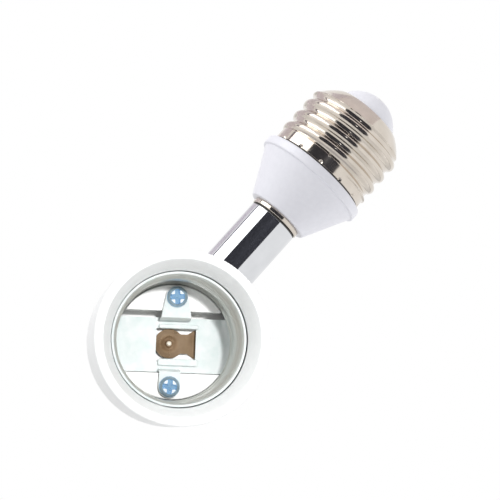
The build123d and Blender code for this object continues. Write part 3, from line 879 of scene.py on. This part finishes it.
# Pan head screws with a cross recess; a pale skin on the recess corners is a painted highlight, and a
# dark skin on the rim is painted shade
def star_radius(angle):
    """Reach of the four-pointed recess at an angle."""
    return recess_waist + (recess_reach - recess_waist) * cos(2 * angle) ** 2


def head_reach(radius, angle):
    """Reach of the screw head's top: a flattened crown, less the recess."""
    edge = radius / screw_head_radius
    crown = screw_head_height * sqrt(sqrt(max(1 - edge**6, 0)))
    star = star_radius(angle)
    return screw_seat + crown - recess_depth * (1 - smooth_step(star - recess_edge, star, radius))


def screw_point(middle, radius, angle, reach):
    """Point round the axis of a screw."""
    return middle[0] + radius * cos(angle), middle[1] + radius * sin(angle), reach


screw_angles = full_turn(SCREW_SEGMENTS)
under_head = (
    (screw_head_radius, screw_seat),
    (screw_shank_radius, screw_seat),
    (screw_shank_radius, screw_tip_reach),
    (0, screw_tip_reach),
)
screws = []
lands = []
rims = []
for side in (1, -1):
    turn = side * screw_turn
    middle = (side * screw_shift, side * screw_place)
    rows = []
    for i in range(RING_STEPS + 1):
        radius = screw_head_radius * (i / RING_STEPS) ** ring_crowding
        rows.append([
            screw_point(middle, radius, angle + turn, head_reach(radius, angle)) for angle in screw_angles
        ])
    for radius, reach in under_head:
        rows.append([screw_point(middle, radius, angle + turn, reach) for angle in screw_angles])
    screws.append(sheet(rows, closed=True))
    rows = []
    for i in range(RIM_STEPS + 1):
        radius = rim_start + (rim_end - rim_start) * i / RIM_STEPS
        reach = head_reach(radius, land_turn) + skin_rise
        rows.append([screw_point(middle, radius, angle, reach) for angle in screw_angles])
    rims.append(sheet(rows, closed=True))
    for quarter in range(4):
        rows = []
        for i in range(LAND_STEPS + 1):
            row = []
            for k in range(LAND_STEPS + 1):
                angle = land_turn + tau / 4 * quarter + land_spread * (2 * k / LAND_STEPS - 1)
                start = star_radius(angle) + land_gap
                radius = start + (land_end - start) * i / LAND_STEPS
                reach = head_reach(radius, angle) + skin_rise
                row.append(screw_point(middle, radius, angle + turn, reach))
            rows.append(row)
        lands.append(sheet(rows))
piece(
    "shell_screws_driven", merged(*screws), socket_frame, "shell_screws", "socket", "blue_zinc",
    sharp=DOME_SHARP_ANGLE,
)
# Pale skins: painted highlights on the corners; dark skins: painted shade on the rims
land_piece = piece("screw_lands", merged(*lands), socket_frame, "shell_screws", "socket", "zinc_painted_highlight")
rim_piece = piece("screw_rims", merged(*rims), socket_frame, "shell_screws", "socket", "zinc_painted_shade")
for made in (land_piece, rim_piece):
    thicken(made, skin, -1)

# Camera
forward = Vector((
    -sin(camera_azimuth) * cos(camera_elevation),
    cos(camera_azimuth) * cos(camera_elevation),
    -sin(camera_elevation),
))
level_right = Vector((cos(camera_azimuth), sin(camera_azimuth), 0))
level_up = level_right.cross(forward)
camera_right = cos(camera_roll) * level_right - sin(camera_roll) * level_up
camera_up = sin(camera_roll) * level_right + cos(camera_roll) * level_up
across = (target_pixel[0] - photo_size / 2) / focal_pixels
upward = (photo_size / 2 - target_pixel[1]) / focal_pixels
camera_place = target - camera_distance * (forward + across * camera_right + upward * camera_up)
camera_data = bpy.data.cameras.new("camera")
camera_data.sensor_width = 36
camera_data.lens = focal_pixels / photo_size * camera_data.sensor_width
camera_data.clip_start = 0.01
camera = bpy.data.objects.new("camera", camera_data)
turned = Matrix((camera_right, camera_up, -forward)).transposed().to_4x4()
camera.matrix_world = Matrix.Translation(camera_place * MM) @ turned
bpy.context.scene.collection.objects.link(camera)
bpy.context.scene.camera = camera


# Lamps: two that polished metal mirrors, a fill, a soft spot into the socket and a small one for glints
def lamp(name, kind, place, aim, power, mirrored=True):
    """Lamp that faces a point, and that polished metal may mirror or not."""
    light = bpy.data.lights.new(name, kind)
    light.energy = power
    made = bpy.data.objects.new(name, light)
    made.visible_glossy = mirrored
    made.location = place
    made.rotation_mode = "QUATERNION"
    made.rotation_quaternion = (Vector(aim) - Vector(place)).to_track_quat("-Z", "Y")
    bpy.context.scene.collection.objects.link(made)
    return light


object_middle = (0, -0.01, -0.025)
socket_middle = (0, -0.04, -0.055)
key = lamp("key", "AREA", (-0.68, -0.05, 0.18), object_middle, power=1.5)
key.size = 0.45
panel = lamp("panel", "AREA", (-0.60, -0.32, 0.10), object_middle, power=0.65)
panel.size = 0.40
fill = lamp("fill", "AREA", (0.62, 0.11, 0.05), object_middle, power=1.3, mirrored=False)
fill.size = 0.50
spot = lamp("socket_spot", "SPOT", (0.002, -0.480, 0.044), socket_middle, power=10.1, mirrored=False)
spot.spot_size = radians(9)
spot.spot_blend = 1.0
spot.shadow_soft_size = 0.02
glint = lamp("glint", "POINT", (-0.02, -0.25, 0.085), object_middle, power=0.025)
glint.shadow_soft_size = 0.0045

# White surroundings, which show brighter than they shine
surroundings_light = 0.70
surroundings_seen = 1.0
world = bpy.data.worlds.new("studio")
world.use_nodes = True
bpy.context.scene.world = world
nodes = world.node_tree.nodes
links = world.node_tree.links
nodes.clear()
rays = nodes.new("ShaderNodeLightPath")
seen = nodes.new("ShaderNodeMath")
seen.operation = "MAXIMUM"
also_seen = nodes.new("ShaderNodeMath")
also_seen.operation = "MAXIMUM"
strength = nodes.new("ShaderNodeMapRange")
strength.inputs["To Min"].default_value = surroundings_light
strength.inputs["To Max"].default_value = surroundings_seen
sky = nodes.new("ShaderNodeBackground")
sky.inputs["Color"].default_value = (1, 1, 1, 1)
output = nodes.new("ShaderNodeOutputWorld")
links.new(rays.outputs["Is Camera Ray"], seen.inputs[0])
links.new(rays.outputs["Is Glossy Ray"], seen.inputs[1])
links.new(seen.outputs[0], also_seen.inputs[0])
links.new(rays.outputs["Is Transmission Ray"], also_seen.inputs[1])
links.new(also_seen.outputs[0], strength.inputs["Value"])
links.new(strength.outputs["Result"], sky.inputs["Strength"])
links.new(sky.outputs["Background"], output.inputs["Surface"])

# Floor, and the cards that show in the polished metal
floor_height = -0.16
floor_sides = (-1.5, 1.5)
ceiling_height = 0.5
ceiling_x_sides = (-0.45, 0.1)
ceiling_y_sides = (-0.35, 0.45)
card_radius = 0.30
card_roughness = (0.8, 0.9)
card_grain = 12
card_lightening = 1.1


def stage_piece(name, rows, material):
    """Sheet of the set, which isn't part of the object."""
    vertices, faces = sheet(rows)
    mesh = bpy.data.meshes.new(name)
    mesh.from_pydata(vertices, [], faces)
    mesh.materials.append(material)
    made = bpy.data.objects.new(name, mesh)
    bpy.context.scene.collection.objects.link(made)
    return made


def level_sheet(x_sides, y_sides, height):
    """Rows of the corners of a level rectangle."""
    return [[(x, y, height) for x in x_sides] for y in y_sides]


def mirrored_card(name, rows, shade):
    """Card of the set that only polished metal shows."""
    lighter = [card_lightening * value for value in shade]
    made = stage_piece(name, rows, surface(name, shade, lighter, card_roughness, card_grain))
    made.visible_camera = False
    made.visible_diffuse = False
    made.visible_shadow = False
    made.visible_transmission = False


def curved_card(name, turns, heights, shade, oval=False):
    """Upright curved card round the object, between two turns in degrees and two heights."""
    first, last = turns
    low, high = heights
    places = [2 * k / CARD_STEPS - 1 for k in range(CARD_STEPS + 1)]
    rows = []
    for up in places:
        share = sqrt(1 - up**2) if oval else 1
        height = (low + high) / 2 + (high - low) / 2 * up
        row = []
        for along in places:
            turn = radians((first + last) / 2 + (last - first) / 2 * share * along)
            row.append((card_radius * sin(turn), -card_radius * cos(turn), height))
        rows.append(row)
    mirrored_card(name, rows, shade)


floor_paint = surface("floor_paint", (0.94, 0.94, 0.94), (0.95, 0.95, 0.95), (0.6, 0.7), 30)
stage_piece("floor", level_sheet(floor_sides, floor_sides, floor_height), floor_paint)
ceiling_rows = level_sheet(ceiling_x_sides, ceiling_y_sides, ceiling_height)
mirrored_card("ceiling_card", ceiling_rows, (0.76, 0.71, 0.72))
curved_card("dark_card", (-48, 26), (-0.50, 0.85), (0.034, 0.035, 0.045), oval=True)
curved_card("left_card", (-150, -116), (-0.16, 0.42), (0.78, 0.72, 0.78))
curved_card("edge_card", (-109, -101), (-0.06, 0.14), (0.30, 0.27, 0.32))

bpy.context.scene.view_settings.view_transform = "Standard"
